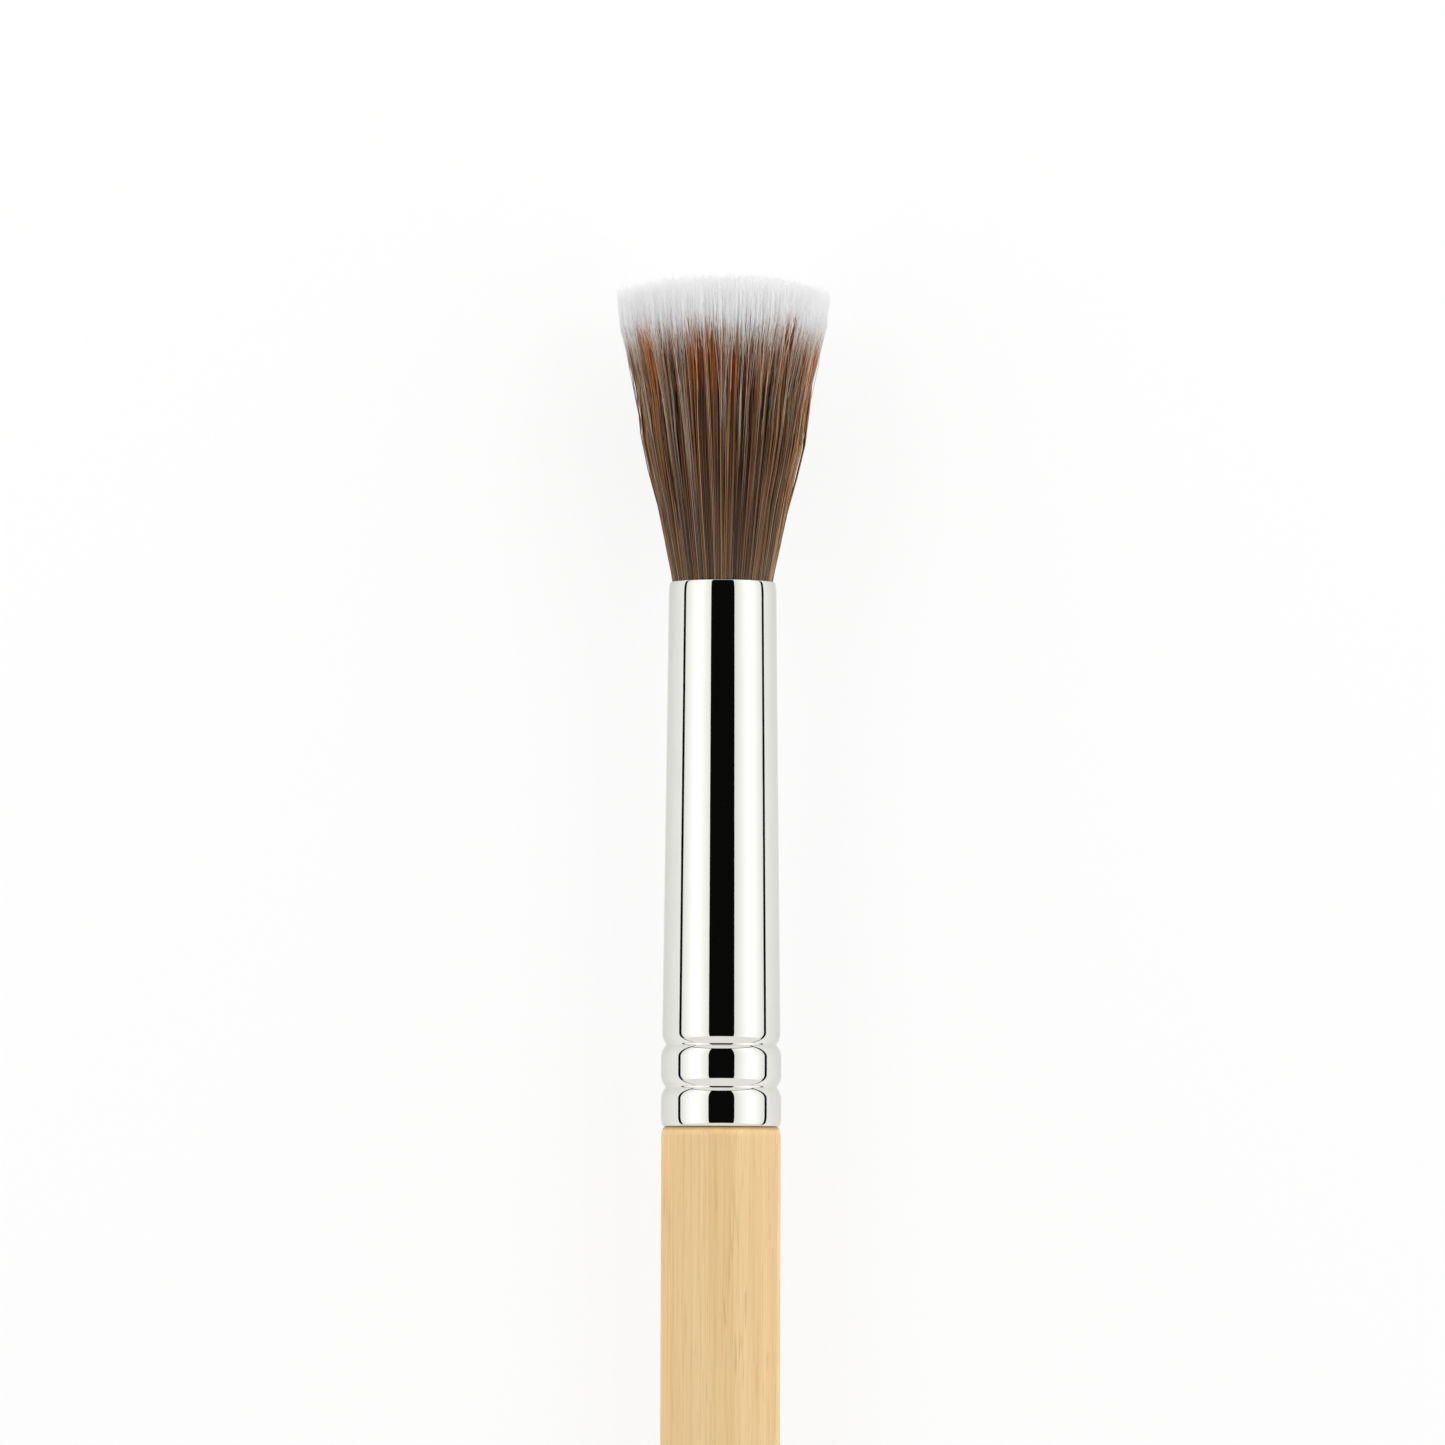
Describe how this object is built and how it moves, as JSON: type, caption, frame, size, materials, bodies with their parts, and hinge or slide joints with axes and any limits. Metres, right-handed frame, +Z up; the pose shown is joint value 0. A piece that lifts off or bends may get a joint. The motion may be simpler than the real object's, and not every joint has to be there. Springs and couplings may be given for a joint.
{
  "type": "stippling brush",
  "caption": "Round stippling brush lying on its side: bamboo handle, crimped polished ferrule and a flared, flat-topped head of brown fibres among longer white ones.",
  "frame": {"origin": "under the middle of the brush's length, on the surface that it lies on", "axes": "+Y along the brush towards its head, +Z up, +X to the right seen from above with the head away; the brush's own axis rises 1.76 degrees towards the head"},
  "size_m": [0.0198, 0.1827, 0.0196],
  "materials": {
    "bamboo": "satin lacquer over fine straight grain",
    "polished_metal": "mirror polish",
    "epoxy": "cured clear amber",
    "brown_fibre": "fine synthetic filament, soft sheen",
    "white_fibre": "fine synthetic filament, soft sheen"
  },
  "bodies": {
    "root": {"handle": "bamboo", "ferrule": "polished_metal", "epoxy_plug": "epoxy", "brown_fibres": "brown_fibre", "white_fibres": "white_fibre"}
  },
  "joints": []
}
